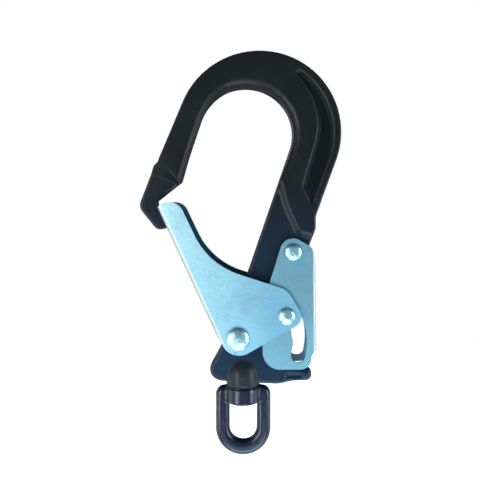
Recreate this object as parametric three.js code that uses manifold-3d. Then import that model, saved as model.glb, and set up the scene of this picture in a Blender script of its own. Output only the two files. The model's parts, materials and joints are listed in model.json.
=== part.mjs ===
// Swivel hook: a forged aluminium hook with a self-closing gate, a lock lever and a ball-race swivel eye.
// Millimetres, +Z up along the load. The origin is the top of the bowl's inner surface, where the load
// bears. X runs from the nose towards the back of the hook, and the gate and the lever turn about Y.
import * as THREE from "three";
import { mergeVertices } from "three/addons/utils/BufferGeometryUtils.js";
import Module from "manifold-3d";

const wasm = await Module();
wasm.setup();

// ---- Driving dimensions ----
const ARM_THICKNESS = 17; // forged arm, across Y
const WEB_THICKNESS = 12.4; // thinner lower body, between the gate's and the lever's leaves
const NOSE_THICKNESS = 9.4;
const POCKET_DEPTH = 2; // lightening pocket in each side of the back of the arm
const CLEARANCE = 0.3; // between neighbouring pieces

const GATE_PIVOT = { x: -3, z: -159.5 };
const LEVER_PIVOT = { x: 32, z: -105 };
const LOCK_PIN_RADIUS = 34; // distance of the lock pin from the gate's pivot
const LOCK_PIN_ANGLE = 25; // degrees above +X, gate closed

const GATE_HALF_WIDTH = 11.5; // outer faces of the gate's two leaves
const GATE_SHEET = 1.8;
const GATE_BEND = 3;
const LEVER_HALF_WIDTH = 9.4;
const LEVER_SHEET = 1.5;
const LEVER_BEND = 2.5;

const GATE_RIVET = { shank: 4, head: 7.4, height: 3.1 };
const LEVER_RIVET = { shank: 3, head: 5.5, height: 2.6 };
const LOCK_RIVET = { shank: 1.5, head: 5.4, height: 2.6 };
const GATE_BUSHING_RADIUS = 5.5;
const LEVER_BUSHING_RADIUS = 4.2;
const LOCK_SLEEVE_RADIUS = 2.3;
const WASHER_THICKNESS = 0.9;

const GATE_SPRING = { radius: 7.3, wire: 0.4, bend: 1.5, turns: 1, hookHeight: 14, leg: 14 };
const LEVER_SPRING = { z: -116, radius: 2.3, wire: 0.4, turns: 5, well: 3.1, bottom: 29.5, top: 43 };

const SOCKET_RADIUS = 10.9; // domed socket below the body, and the eye's collar under it
const SOCKET_BOTTOM = -190.9;
const DOME_CENTRE = -183.8;
const COLLAR_TOP = -192;
const COLLAR_BOTTOM = -202;
const STEM_RADIUS = 6;
const STEM_TOP = -180.6;
const BALL = { count: 9, radius: 2, pitch: 6.35, z: -184.5, play: 0.15 };
const EYE_THICKNESS = 7.6;
const EYE_HALF_WIDTH = 17.8;
const EYE_HALF_OPENING = 8.7;
const EYE_BOTTOM = -237;
const EYE_OPENING_BOTTOM = -227.2;

// ---- Outlines in the XZ plane, as corners [x, z, radius of the rounded corner] ----
const BOWL_BACK = [
  [-24.6, 23, 53.2],
  [84.9, 23, 51.8],
];
const BOWL_INSIDE = [
  [43.6, 0, 30],
  [-20.8, 0, 30.5],
  [-35.5, -43.7, 10],
];
const SHANK_SHOULDER = [
  [46.7, -82.5, 1.5],
  [46.7, -90, 4],
];
const NOSE = [
  [-40.5, -61.2, 0],
  [-55.5, -73, 0],
  [-54.9, -75.7, 0],
  [-49.2, -90.2, 0],
  [-55, -91.8, 5],
  [-67.4, -76.5, 7],
  [-57.2, -50, 1.5],
  [-54.4, -47.6, 1.5],
];
const LOWER_BODY = [
  [41.8, -104, 3],
  [40, -129, 3],
  [25.5, -140.2, 3],
  [23.2, -145.6, 1],
  [29, -157.8, 27],
  [22.8, -176.8, 5],
  [44.6, -180.8, 3.8],
  [44.1, -188.7, 3.7],
  [32, -189.1, 3],
  [26.5, -190.2, 3],
  [0, -188.8, 0],
  [-26.3, -187.4, 7.5],
  [-12.6, -163, 3],
  [-10, -150, 6],
  [-0.6, -128.5, 15],
];
const BODY = [...BOWL_BACK, ...SHANK_SHOULDER, ...LOWER_BODY, ...BOWL_INSIDE, ...NOSE];
const ARM = [
  ...BOWL_BACK,
  ...SHANK_SHOULDER,
  [45, -96.4, 0],
  [36, -92, 4],
  [28, -74, 40],
  [24.8, -61, 3],
  [23.4, -58.5, 0],
  ...BOWL_INSIDE,
  [-39.6, -58.2, 0],
  [-54, -46.7, 0],
];
const WEB = [[57.4, -52.7, 0], ...SHANK_SHOULDER, ...LOWER_BODY, [25.5, -52.7, 0]];
const POCKET = [
  [32.6, 9.6, 1.2],
  [36.2, 11.2, 1.2],
  [68, -11, 48],
  [44.6, -75.8, 1.5],
  [42.6, -73.9, 2],
  [37.4, -63, 2.5],
  [52, -14.5, 43],
];
const GATE_LEAF = [
  [-53.9, -76.7, 0.6],
  [-42.3, -69.2, 9],
  [-21.5, -112.6, 48],
  [28, -128.4, 12],
  [40, -147.6, 7.5],
  [-6.2, -173.9, 11.7],
  [-18.3, -153.6, 1],
];
const LEVER_LEAF = [
  [27.1, -92.2, 8.3],
  [43.6, -101.8, 4],
  [46.6, -110, 2],
  [46.9, -166.7, 0.6],
  [43.8, -170.3, 0.6],
  [43.2, -179.2, 7],
  [12.9, -179.2, 11],
  [12.4, -139.8, 10],
];
const LEVER_SLOT = [
  [24.9, -142.2, 2.5],
  [34.6, -140.8, 3.5],
  [42.6, -155.7, 38],
  [38.8, -174.8, 4.2],
  [29.6, -174.8, 4.2],
  [32.2, -162.5, 12],
  [30.3, -155, 5],
  [25, -146, 2.2],
];
const EYE_OUTSIDE = [
  [-EYE_HALF_WIDTH, COLLAR_TOP, 5.5],
  [EYE_HALF_WIDTH, COLLAR_TOP, 5.5],
  [EYE_HALF_WIDTH, EYE_BOTTOM, 17.5],
  [-EYE_HALF_WIDTH, EYE_BOTTOM, 17.5],
];
const EYE_OPENING = [
  [-EYE_HALF_OPENING, COLLAR_BOTTOM + 2, 3],
  [EYE_HALF_OPENING, COLLAR_BOTTOM + 2, 3],
  [EYE_HALF_OPENING, EYE_OPENING_BOTTOM, 8.6],
  [-EYE_HALF_OPENING, EYE_OPENING_BOTTOM, 8.6],
];

// ---- Materials ----
const anodised = { color: 0x17191c, roughness: 0.42, metalness: 0.6 };
const blackSteel = { color: 0x15191f, roughness: 0.35, metalness: 0.7 };
const zincSheet = { color: 0x9fd0e2, roughness: 0.38, metalness: 0.8 };
const rivetSteel = { color: 0xc9cfd0, roughness: 0.3, metalness: 1 };
const springSteel = { color: 0x8b9096, roughness: 0.35, metalness: 1 };
const bearingSteel = { color: 0xb9bdc2, roughness: 0.15, metalness: 1 };

// ---- Helpers ----

// Points along an outline whose corners are rounded; an arc's chords stay within sag of it.
function outlinePoints(corners, sag = 0.1) {
  const points = [];
  corners.forEach(([x, z, radius], i) => {
    const corner = new THREE.Vector2(x, z);
    const [px, pz] = corners[(i + corners.length - 1) % corners.length];
    const [nx, nz] = corners[(i + 1) % corners.length];
    const arriving = corner.clone().sub(new THREE.Vector2(px, pz)).normalize();
    const leaving = new THREE.Vector2(nx, nz).sub(corner).normalize();
    const turn = Math.atan2(arriving.cross(leaving), arriving.dot(leaving));
    if (radius === 0) {
      points.push(corner);
      return;
    }
    const side = Math.sign(turn);
    const tangent = radius * Math.tan(Math.abs(turn) / 2);
    const start = corner.clone().addScaledVector(arriving, -tangent);
    const centre = new THREE.Vector2(-arriving.y, arriving.x).multiplyScalar(side * radius).add(start);
    const step = 2 * Math.acos(1 - Math.min(sag / radius, 0.3));
    const chords = Math.max(1, Math.ceil(Math.abs(turn) / step));
    for (let k = 0; k <= chords; k++) {
      points.push(start.clone().rotateAround(centre, (turn * k) / chords));
    }
  });
  return points;
}

// A flat plate on the XZ plane, centred across Y, with chamfered edges.
function plate(corners, thickness, chamfer = 0, hole = null) {
  const shape = new THREE.Shape(outlinePoints(corners));
  if (hole) shape.holes.push(new THREE.Path(outlinePoints(hole).reverse()));
  const geometry = new THREE.ExtrudeGeometry(shape, {
    depth: thickness - 2 * chamfer,
    bevelEnabled: chamfer > 0,
    bevelThickness: chamfer,
    bevelSize: chamfer,
    bevelOffset: -chamfer,
    bevelSegments: 1,
  });
  return geometry.translate(0, 0, chamfer - thickness / 2).rotateX(Math.PI / 2);
}

function solidOf(geometry) {
  const bare = geometry.clone();
  bare.deleteAttribute("normal");
  bare.deleteAttribute("uv");
  const merged = mergeVertices(bare, 1e-4);
  return new wasm.Manifold(
    new wasm.Mesh({
      numProp: 3,
      vertProperties: merged.attributes.position.array,
      triVerts: new Uint32Array(merged.index.array),
    }),
  );
}

function geometryOf(solid) {
  const mesh = solid.getMesh();
  const geometry = new THREE.BufferGeometry();
  geometry.setAttribute("position", new THREE.BufferAttribute(mesh.vertProperties, 3));
  geometry.setIndex(new THREE.BufferAttribute(mesh.triVerts, 1));
  geometry.computeVertexNormals();
  return geometry;
}

function carve(geometry, ...cutters) {
  return geometryOf(cutters.reduce((solid, cutter) => solid.subtract(solidOf(cutter)), solidOf(geometry)));
}

function join(...geometries) {
  return geometryOf(geometries.map(solidOf).reduce((whole, piece) => whole.add(piece)));
}

function common(a, b) {
  return geometryOf(solidOf(a).intersect(solidOf(b)));
}

// A solid of revolution; the profile is [radius, distance along the axis] from the lower end to the upper.
function turned(profile, segments = 20) {
  return new THREE.LatheGeometry(
    profile.map(([radius, along]) => new THREE.Vector2(radius, along)),
    segments,
  );
}

function aboutY(geometry, { x, z }) {
  return geometry.translate(x, 0, z);
}

function aboutZ(geometry) {
  return geometry.rotateX(Math.PI / 2);
}

function rod(radius, from, to, segments = 20) {
  return turned([[0, from], [radius, from], [radius, to], [0, to]], segments);
}

function ringSection(inner, outer, from, to, segments = 20) {
  return turned([[inner, from], [outer, from], [outer, to], [inner, to], [inner, from]], segments);
}

// A sheet folded into a channel: its back runs through the point `corner`, and its legs lead inward.
function channel(corner, inward, halfWidth, sheet, bend, reach) {
  const inside = halfWidth - sheet;
  const section = outlinePoints(
    [
      [100, -halfWidth, 0],
      [0, -halfWidth, bend],
      [0, halfWidth, bend],
      [100, halfWidth, 0],
      [100, inside, 0],
      [sheet, inside, bend - sheet],
      [sheet, -inside, bend - sheet],
      [100, -inside, 0],
    ],
    0.05,
  );
  const geometry = new THREE.ExtrudeGeometry(new THREE.Shape(section), {
    depth: 2 * reach,
    bevelEnabled: false,
  });
  const across = new THREE.Vector3(0, 1, 0);
  const along = inward.clone().cross(across);
  const placing = new THREE.Matrix4().makeBasis(inward, across, along);
  placing.setPosition(corner.clone().addScaledVector(along, -reach));
  return geometry.applyMatrix4(placing);
}

function wire(points, radius, steps, sides = 6) {
  const section = new THREE.Shape(
    Array.from({ length: sides }, (_, i) =>
      new THREE.Vector2(radius, 0).rotateAround(new THREE.Vector2(), (2 * Math.PI * i) / sides),
    ),
  );
  return new THREE.ExtrudeGeometry(section, {
    steps,
    bevelEnabled: false,
    extrudePath: new THREE.CatmullRomCurve3(points, false, "centripetal"),
  });
}

const root = new THREE.Group();

function piece(name, geometry, material) {
  const mesh = new THREE.Mesh(geometry, new THREE.MeshStandardMaterial(material));
  mesh.name = name;
  root.add(mesh);
}

const pinAngle = THREE.MathUtils.degToRad(LOCK_PIN_ANGLE);
const LOCK_PIN = {
  x: GATE_PIVOT.x + LOCK_PIN_RADIUS * Math.cos(pinAngle),
  z: GATE_PIVOT.z + LOCK_PIN_RADIUS * Math.sin(pinAngle),
};

// ---- Hook body ----

function legHole(side) {
  const depth = WEB_THICKNESS / 2;
  const hole = rod(GATE_SPRING.wire + 0.5, side * depth - 2.8, side * depth + 2.8, 12);
  return aboutY(hole, { x: GATE_PIVOT.x, z: GATE_PIVOT.z + GATE_SPRING.hookHeight });
}

function socket() {
  const dome = [[0, SOCKET_BOTTOM], [SOCKET_RADIUS, SOCKET_BOTTOM]];
  const rise = 7;
  for (let i = 0; i <= rise; i++) {
    const angle = (Math.PI / 2) * (i / rise);
    dome.push([SOCKET_RADIUS * Math.cos(angle), DOME_CENTRE + SOCKET_RADIUS * Math.sin(angle)]);
  }
  return aboutZ(turned(dome, 32));
}

function ballRace() {
  return new THREE.TorusGeometry(BALL.pitch, BALL.radius + BALL.play, 8, 28).translate(0, 0, BALL.z);
}

// The hole through which the balls are loaded, in the front of the socket.
function loadingHole() {
  const outer = -SOCKET_RADIUS - 1;
  return rod(BALL.radius + 0.2, outer, -BALL.pitch, 16).translate(0, 0, BALL.z);
}

function hookBody() {
  const whole = join(
    plate(BODY, NOSE_THICKNESS, 1.2),
    plate(WEB, WEB_THICKNESS, 1),
    plate(ARM, ARM_THICKNESS, 2),
    socket(),
  );
  const pocket = plate(POCKET, POCKET_DEPTH * 2);
  const boreReach = ARM_THICKNESS;
  const springWell = rod(LEVER_SPRING.well, LEVER_SPRING.bottom, LEVER_SPRING.top, 20);
  return carve(
    whole,
    pocket.clone().translate(0, -ARM_THICKNESS / 2, 0),
    pocket.clone().translate(0, ARM_THICKNESS / 2, 0),
    aboutY(rod(GATE_BUSHING_RADIUS + CLEARANCE, -boreReach, boreReach), GATE_PIVOT),
    aboutY(rod(LEVER_BUSHING_RADIUS + CLEARANCE, -boreReach, boreReach), LEVER_PIVOT),
    springWell.rotateZ(-Math.PI / 2).translate(0, 0, LEVER_SPRING.z),
    legHole(-1),
    legHole(1),
    aboutZ(rod(STEM_RADIUS + CLEARANCE, SOCKET_BOTTOM - 5, STEM_TOP + CLEARANCE)),
    ballRace(),
    loadingHole(),
  );
}

// ---- Gate and lever, folded from sheet ----

// Direction of the gate's folded back, from its lower end to the nose.
function gateUpward() {
  const [topX, topZ] = GATE_LEAF[0];
  const [lowX, lowZ] = GATE_LEAF[GATE_LEAF.length - 1];
  return new THREE.Vector3(topX - lowX, 0, topZ - lowZ).normalize();
}

function foldedGate() {
  const [lowX, lowZ] = GATE_LEAF[GATE_LEAF.length - 1];
  const upward = gateUpward();
  const inward = new THREE.Vector3(upward.z, 0, -upward.x);
  const backEnd = new THREE.Vector3(lowX, 0, lowZ);
  const inside = GATE_HALF_WIDTH - GATE_SHEET;
  const folded = channel(backEnd, inward, GATE_HALF_WIDTH, GATE_SHEET, GATE_BEND, 130);
  const leaves = common(folded, plate(GATE_LEAF, 2 * GATE_HALF_WIDTH + 2));
  const belowBack = new THREE.BoxGeometry(8, 2 * inside - 0.1, 30).translate(0, 0, -15);
  const placing = new THREE.Matrix4().makeBasis(inward, new THREE.Vector3(0, 1, 0), upward);
  placing.setPosition(backEnd);
  return carve(
    leaves,
    belowBack.applyMatrix4(placing),
    aboutY(rod(GATE_RIVET.shank + CLEARANCE, -20, 20), GATE_PIVOT),
    aboutY(rod(LOCK_RIVET.shank + CLEARANCE, -20, 20, 16), LOCK_PIN),
  );
}

function foldedLever() {
  const [topX, topZ] = LEVER_LEAF[2];
  const [lowX, lowZ] = LEVER_LEAF[3];
  const downward = new THREE.Vector3(lowX - topX, 0, lowZ - topZ).normalize();
  const inward = new THREE.Vector3(downward.z, 0, -downward.x);
  const folded = channel(
    new THREE.Vector3(topX, 0, topZ),
    inward,
    LEVER_HALF_WIDTH,
    LEVER_SHEET,
    LEVER_BEND,
    110,
  );
  return carve(
    common(folded, plate(LEVER_LEAF, 2 * LEVER_HALF_WIDTH + 2)),
    plate(LEVER_SLOT, 2 * LEVER_HALF_WIDTH + 2),
    aboutY(rod(LEVER_RIVET.shank + CLEARANCE, -20, 20), LEVER_PIVOT),
  );
}

// ---- Rivets, bushings and washers ----

// A dome-headed rivet, closed over a washer at the back.
function rivet({ shank, head, height }, halfWidth, at) {
  const seat = halfWidth + CLEARANCE / 2;
  const closedSeat = halfWidth + WASHER_THICKNESS + CLEARANCE;
  const profile = [[0, -seat - height]];
  const rise = 4;
  for (let i = 1; i <= rise; i++) {
    const angle = (Math.PI / 2) * (i / rise);
    profile.push([head * Math.sin(angle), -seat - 0.5 - (height - 0.5) * Math.cos(angle)]);
  }
  profile.push(
    [head, -seat],
    [shank, -seat],
    [shank, closedSeat],
    [head * 0.8, closedSeat],
    [head * 0.72, closedSeat + height * 0.55],
    [head * 0.35, closedSeat + height * 0.85],
    [0, closedSeat + height * 0.9],
  );
  return aboutY(turned(profile), at);
}

function rivetWasher({ shank, head }, halfWidth, at) {
  const seat = halfWidth + CLEARANCE / 2;
  return aboutY(ringSection(shank + CLEARANCE, head * 0.98, seat, seat + WASHER_THICKNESS), at);
}

function bushing({ shank }, outer, halfWidth, sheet, at) {
  const reach = halfWidth - sheet - CLEARANCE;
  return aboutY(ringSection(shank + CLEARANCE, outer, -reach, reach), at);
}

function leverSpacer(side) {
  const from = WEB_THICKNESS / 2 + CLEARANCE;
  const to = LEVER_HALF_WIDTH - LEVER_SHEET - CLEARANCE;
  const spacer = ringSection(LEVER_BUSHING_RADIUS + CLEARANCE, 7, from, to);
  if (side < 0) spacer.rotateX(Math.PI);
  return aboutY(spacer, LEVER_PIVOT);
}

// ---- Springs ----

// One torsion coil: a leg hooked into the body, a turn and a half round the bushing, and a leg along the
// gate's back.
function gateSpring(side) {
  const { radius, wire: half, bend, turns, hookHeight, leg } = GATE_SPRING;
  const webFace = WEB_THICKNESS / 2;
  const inner = webFace + CLEARANCE + half;
  const outer = GATE_HALF_WIDTH - GATE_SHEET - CLEARANCE - half;
  const at = (x, depth, z) => new THREE.Vector3(GATE_PIVOT.x + x, side * depth, GATE_PIVOT.z + z);
  const cut = bend * (1 - Math.SQRT1_2);
  const points = [
    at(0, webFace - 2, hookHeight),
    at(0, inner - bend, hookHeight),
    at(0, inner - cut, hookHeight - cut),
    at(0, inner, hookHeight - bend),
    at(radius * 0.75, inner, radius * 0.95),
  ];
  const perTurn = 14;
  const count = Math.round(perTurn * (turns + 0.42));
  for (let i = 0; i <= count; i++) {
    const angle = THREE.MathUtils.degToRad(12) - (2 * Math.PI * i) / perTurn;
    const depth = inner + ((outer - inner) * i) / count;
    points.push(at(radius * Math.cos(angle), depth, radius * Math.sin(angle)));
  }
  const last = points[points.length - 1];
  const along = gateUpward();
  points.push(last.clone().addScaledVector(along, 0.4 * leg), last.clone().addScaledVector(along, leg));
  return wire(points, half, 80, 5);
}

// The compression coil between the body's well and the lever's back.
function leverSpring() {
  const { z, radius, wire: half, turns, bottom } = LEVER_SPRING;
  const start = bottom + CLEARANCE + half;
  const end = LEVER_SPRING.top - CLEARANCE - half;
  const perTurn = 10;
  const count = perTurn * turns;
  const points = [];
  for (let i = 0; i <= count; i++) {
    const angle = (2 * Math.PI * i) / perTurn;
    const along = start + ((end - start) * i) / count;
    points.push(new THREE.Vector3(along, radius * Math.cos(angle), z + radius * Math.sin(angle)));
  }
  return wire(points, half, count, 5);
}

// ---- Swivel ----

function swivelEye() {
  const stem = [
    [0, COLLAR_BOTTOM],
    [SOCKET_RADIUS - 0.8, COLLAR_BOTTOM],
    [SOCKET_RADIUS, COLLAR_BOTTOM + 0.8],
    [SOCKET_RADIUS, COLLAR_TOP],
    [STEM_RADIUS, COLLAR_TOP],
    [STEM_RADIUS, STEM_TOP - 1],
    [STEM_RADIUS - 1, STEM_TOP],
    [0, STEM_TOP],
  ];
  const loop = plate(EYE_OUTSIDE, EYE_THICKNESS, 2, EYE_OPENING);
  return carve(join(aboutZ(turned(stem, 32)), loop), ballRace());
}

function thrustWasher() {
  const top = SOCKET_BOTTOM - CLEARANCE;
  return aboutZ(ringSection(STEM_RADIUS + CLEARANCE, SOCKET_RADIUS - 0.5, COLLAR_TOP + CLEARANCE, top, 24));
}

function ballPlug() {
  const face = -SOCKET_RADIUS + 0.1;
  const plug = turned(
    [[0, face - 0.3], [1.2, face - 0.1], [1.9, face + 0.4], [1.9, face + 1.9], [0, face + 1.9]],
    16,
  );
  return plug.translate(0, 0, BALL.z);
}

function ballAt(index) {
  const angle = (2 * Math.PI * (index + 0.5)) / BALL.count - Math.PI / 2;
  const ball = new THREE.SphereGeometry(BALL.radius, 8, 6);
  return ball.translate(BALL.pitch * Math.cos(angle), BALL.pitch * Math.sin(angle), BALL.z);
}

// ---- Assembly ----
piece("hook_body", hookBody(), anodised);
piece("gate", foldedGate(), zincSheet);
piece("lock_lever", foldedLever(), zincSheet);

piece("gate_rivet", rivet(GATE_RIVET, GATE_HALF_WIDTH, GATE_PIVOT), rivetSteel);
piece("gate_rivet_washer", rivetWasher(GATE_RIVET, GATE_HALF_WIDTH, GATE_PIVOT), rivetSteel);
piece(
  "gate_bushing",
  bushing(GATE_RIVET, GATE_BUSHING_RADIUS, GATE_HALF_WIDTH, GATE_SHEET, GATE_PIVOT),
  bearingSteel,
);
piece("gate_spring_front", gateSpring(-1), springSteel);
piece("gate_spring_back", gateSpring(1), springSteel);

piece("lever_rivet", rivet(LEVER_RIVET, LEVER_HALF_WIDTH, LEVER_PIVOT), rivetSteel);
piece("lever_rivet_washer", rivetWasher(LEVER_RIVET, LEVER_HALF_WIDTH, LEVER_PIVOT), rivetSteel);
piece(
  "lever_bushing",
  bushing(LEVER_RIVET, LEVER_BUSHING_RADIUS, LEVER_HALF_WIDTH, LEVER_SHEET, LEVER_PIVOT),
  bearingSteel,
);
piece("lever_spacer_front", leverSpacer(-1), bearingSteel);
piece("lever_spacer_back", leverSpacer(1), bearingSteel);
piece("lever_spring", leverSpring(), springSteel);

piece("lock_pin_rivet", rivet(LOCK_RIVET, GATE_HALF_WIDTH, LOCK_PIN), rivetSteel);
piece("lock_pin_washer", rivetWasher(LOCK_RIVET, GATE_HALF_WIDTH, LOCK_PIN), rivetSteel);
piece(
  "lock_pin_sleeve",
  bushing(LOCK_RIVET, LOCK_SLEEVE_RADIUS, GATE_HALF_WIDTH, GATE_SHEET, LOCK_PIN),
  bearingSteel,
);

piece("swivel_eye", swivelEye(), blackSteel);
piece("swivel_thrust_washer", thrustWasher(), blackSteel);
piece("swivel_ball_plug", ballPlug(), blackSteel);
for (let i = 0; i < BALL.count; i++) {
  piece("swivel_ball_0" + (i + 1), ballAt(i), bearingSteel);
}

export default root;
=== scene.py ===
"""Looks of the swivel hook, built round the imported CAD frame.

Lengths are in millimetres, apart from those of the materials, lights and camera, which are in metres.
"""

import json
import math

import bmesh
import bpy
import numpy as np
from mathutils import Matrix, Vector

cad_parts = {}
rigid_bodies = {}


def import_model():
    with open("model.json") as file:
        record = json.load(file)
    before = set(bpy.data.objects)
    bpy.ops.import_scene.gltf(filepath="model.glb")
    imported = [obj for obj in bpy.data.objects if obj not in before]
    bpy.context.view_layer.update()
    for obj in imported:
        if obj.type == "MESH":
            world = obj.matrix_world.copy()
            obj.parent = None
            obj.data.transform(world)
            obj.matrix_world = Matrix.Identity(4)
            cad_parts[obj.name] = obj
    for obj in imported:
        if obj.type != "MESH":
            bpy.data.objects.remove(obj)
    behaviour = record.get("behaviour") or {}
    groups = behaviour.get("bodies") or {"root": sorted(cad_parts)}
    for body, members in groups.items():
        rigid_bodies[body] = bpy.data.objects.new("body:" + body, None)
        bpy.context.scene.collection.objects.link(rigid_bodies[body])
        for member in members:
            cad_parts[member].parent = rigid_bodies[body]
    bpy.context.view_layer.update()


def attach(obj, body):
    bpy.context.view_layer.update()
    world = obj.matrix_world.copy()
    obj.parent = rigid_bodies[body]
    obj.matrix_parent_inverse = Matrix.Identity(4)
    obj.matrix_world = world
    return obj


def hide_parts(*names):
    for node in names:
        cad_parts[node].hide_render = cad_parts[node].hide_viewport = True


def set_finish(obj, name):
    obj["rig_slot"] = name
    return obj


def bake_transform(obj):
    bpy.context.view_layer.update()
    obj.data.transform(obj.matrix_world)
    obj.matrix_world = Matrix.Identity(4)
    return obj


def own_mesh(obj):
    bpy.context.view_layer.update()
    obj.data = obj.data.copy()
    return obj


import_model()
MM = 0.001

# ---- Dimensions, as in the CAD source ----
ARM_HALF = 8.5
WEB_HALF = 6.2
NOSE_HALF = 4.7
POCKET_DEPTH = 2.0
CLEARANCE = 0.3
GATE_PIVOT = (-3.0, -159.5)
LEVER_PIVOT = (32.0, -105.0)
LOCK_PIN_REACH, LOCK_PIN_ANGLE = 34, math.radians(25)
LOCK_PIN = (
    GATE_PIVOT[0] + LOCK_PIN_REACH * math.cos(LOCK_PIN_ANGLE),
    GATE_PIVOT[1] + LOCK_PIN_REACH * math.sin(LOCK_PIN_ANGLE),
)
GATE_HALF_WIDTH, GATE_SHEET, GATE_BEND = 11.5, 1.8, 3.0
LEVER_HALF_WIDTH, LEVER_SHEET, LEVER_BEND = 9.4, 1.5, 2.5
GATE_RIVET = {"shank": 4.0, "head": 7.4, "height": 3.1}
LEVER_RIVET = {"shank": 3.0, "head": 5.5, "height": 2.6}
LOCK_RIVET = {"shank": 1.5, "head": 5.4, "height": 2.6}
GATE_BUSHING, LEVER_BUSHING, LOCK_SLEEVE = 5.5, 4.2, 2.3
WASHER = 0.9
SPACER_RADIUS = 7
GATE_SPRING = {
    "radius": 7.3, "wire": 0.4, "bend": 1.5, "turns": 1,
    "hook": 14.0, "leg": 14.0, "hole": 0.95, "hole_depth": 2.8,
}
LEVER_SPRING = {
    "z": -116.0, "radius": 2.3, "wire": 0.4, "turns": 5,
    "well": 3.1, "bottom": 29.5, "top": 43.0, "squashed": 0.905,
}
SOCKET_RADIUS, SOCKET_BOTTOM, DOME_CENTRE = 10.9, -190.9, -183.8
COLLAR_TOP, COLLAR_BOTTOM = -192.0, -202.0
STEM_RADIUS, STEM_TOP = 6.0, -180.6
BALLS = {"count": 9, "radius": 2.0, "pitch": 6.35, "z": -184.5, "play": 0.15}
LOADING_HOLE = {"play": 0.2, "covered_from": -9.2}
PLUG_RADIUS = 0.95
PLUG_DEPTH = 1.9
EYE_HALF = 3.8

# ---- Outlines in the XZ plane, as corners (x, z, radius) ----
BOWL_BACK = [(-24.6, 23, 53.2), (84.9, 23, 51.8)]
BOWL_INSIDE = [(43.6, 0, 30), (-20.8, 0, 30.5), (-35.5, -43.7, 10)]
SHOULDER = [(46.7, -82.5, 1.5), (46.7, -90, 4)]
NOSE = [
    (-40.5, -61.2, 0), (-55.5, -73, 0), (-54.9, -75.7, 0), (-49.2, -90.2, 0),
    (-55, -91.8, 5), (-67.4, -76.5, 7), (-57.2, -50, 1.5), (-54.4, -47.6, 1.5),
]
LOWER_BODY = [
    (41.8, -104, 3), (40, -129, 3), (25.5, -140.2, 3), (23.2, -145.6, 1), (29, -157.8, 27),
    (22.8, -176.8, 5), (44.6, -180.8, 3.8), (44.1, -188.7, 3.7), (32, -189.1, 3), (26.5, -190.2, 3),
    (0, -188.8, 0), (-26.3, -187.4, 7.5), (-12.6, -163, 3), (-10, -150, 6), (-0.6, -128.5, 15),
]
BODY = BOWL_BACK + SHOULDER + LOWER_BODY + BOWL_INSIDE + NOSE
BOWL = [(23.4, -58.5, 0)] + BOWL_INSIDE + [(-40.5, -61.2, 0)]
THICK_REGION = [
    (15, -57, 0), (24.8, -61, 3), (28, -74, 40), (36, -92, 4), (60, -98, 0), (200, -98, 0), (200, 100, 0),
    (-200, 100, 0), (-200, -150, 0), (-30, -150, 0), (-30, -57, 0),
]
POCKET = [
    (32.6, 9.6, 1.2), (36.2, 11.2, 1.2), (68, -11, 48), (44.6, -75.8, 1.5), (42.6, -73.9, 2),
    (37.4, -63, 2.5), (52, -14.5, 43),
]
GATE_LEAF = [
    (-53.9, -76.7, 0.6), (-42.3, -69.2, 9), (-21.5, -112.6, 48), (28, -128.4, 12), (40, -147.6, 7.5),
    (-6.2, -173.9, 11.7), (-18.3, -153.6, 1),
]
LEVER_LEAF = [
    (27.1, -92.2, 8.3), (43.6, -101.8, 4), (46.6, -110, 2), (46.9, -166.7, 0.6), (43.8, -170.3, 0.6),
    (43.2, -179.2, 7), (12.9, -179.2, 11), (12.4, -139.8, 10),
]
LEVER_SLOT = [
    (24.9, -142.2, 2.5), (34.6, -140.8, 3.5), (42.6, -155.7, 38), (38.8, -174.8, 4.2),
    (29.6, -174.8, 4.2), (32.2, -162.5, 12), (30.3, -155, 5), (25, -146, 2.2),
]
EYE_OUTSIDE = [(-17.8, -192, 5.5), (17.8, -192, 5.5), (17.8, -237, 17.5), (-17.8, -237, 17.5)]
EYE_OPENING = [(-8.7, -200, 3), (8.7, -200, 3), (8.7, -227.2, 8.6), (-8.7, -227.2, 8.6)]

# ---- The forging's faces and edges ----
THINNING = {"start": 0.9, "width": 4.2}  # from the arm down to the web
POCKET_SLOPE = 2.4
NOSE_SIDE = -30  # the nose lies left of this
FACET_START = ((-52.6, -46), (-41.8, -58.7))  # the lines between which the nose thins
FACET_END = ((-57.7, -56), (-43.6, -60.8))
EDGE_RADIUS = {
    "arm_back": 1.1, "bowl": 6.4, "nose": 1.25, "shank": 1.6, "wing": 4.0, "lobe": 2.6, "other": 1.3,
}
BOWL_EDGE_DROP = {"left": 4.1, "low_right": 3.4}  # how much less the bowl's edge is rounded there
WING_DROP = 1.3
PARTING = {"height": 0.13, "width": 0.9, "fade": 3}  # the faint ridge where the dies met
DOME_BLEND, SOCKET_EDGE = 0.7, 0.7
LENS = {"x": 33, "y": 5.2, "z": -184.9, "length": 6.4, "width": 2.0, "slope": 1.5}  # the recess in the wing
EYE_EDGE, COLLAR_EDGE, COLLAR_BLEND = 3.75, 0.9, 1.8
SHEET_EDGE = 0.24
FOLD_BAND, RIM_BAND = (0.2, 0.97), (0.1, 0.62)  # how far a bend's faces look sideways

# Where an edge's rounding or a thickness changes: a first place, and a length after it
NOSE_FADE = (0, 6)
LEFT_FADE = (8, 20)
LOW_FADE = (44, 18)
SHANK_FADE = (56, 6)
WING_FADE_X, WING_FADE_Z = (21, 7), (172, 4)
LOBE_FADE_X, LOBE_FADE_Z = (10, 8), (160, 8)

# Sizes of the samples, and the boxes that hold them
BODY_SAMPLES = {"low": (-68.6, -11.6, -192.4), "high": (64.2, 11.6, 24.2), "step": 0.66}
EYE_SAMPLES = {"low": (-18.4, -11.8, -237.4), "high": (18.4, 11.8, -179.6), "step": 0.45}


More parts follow.
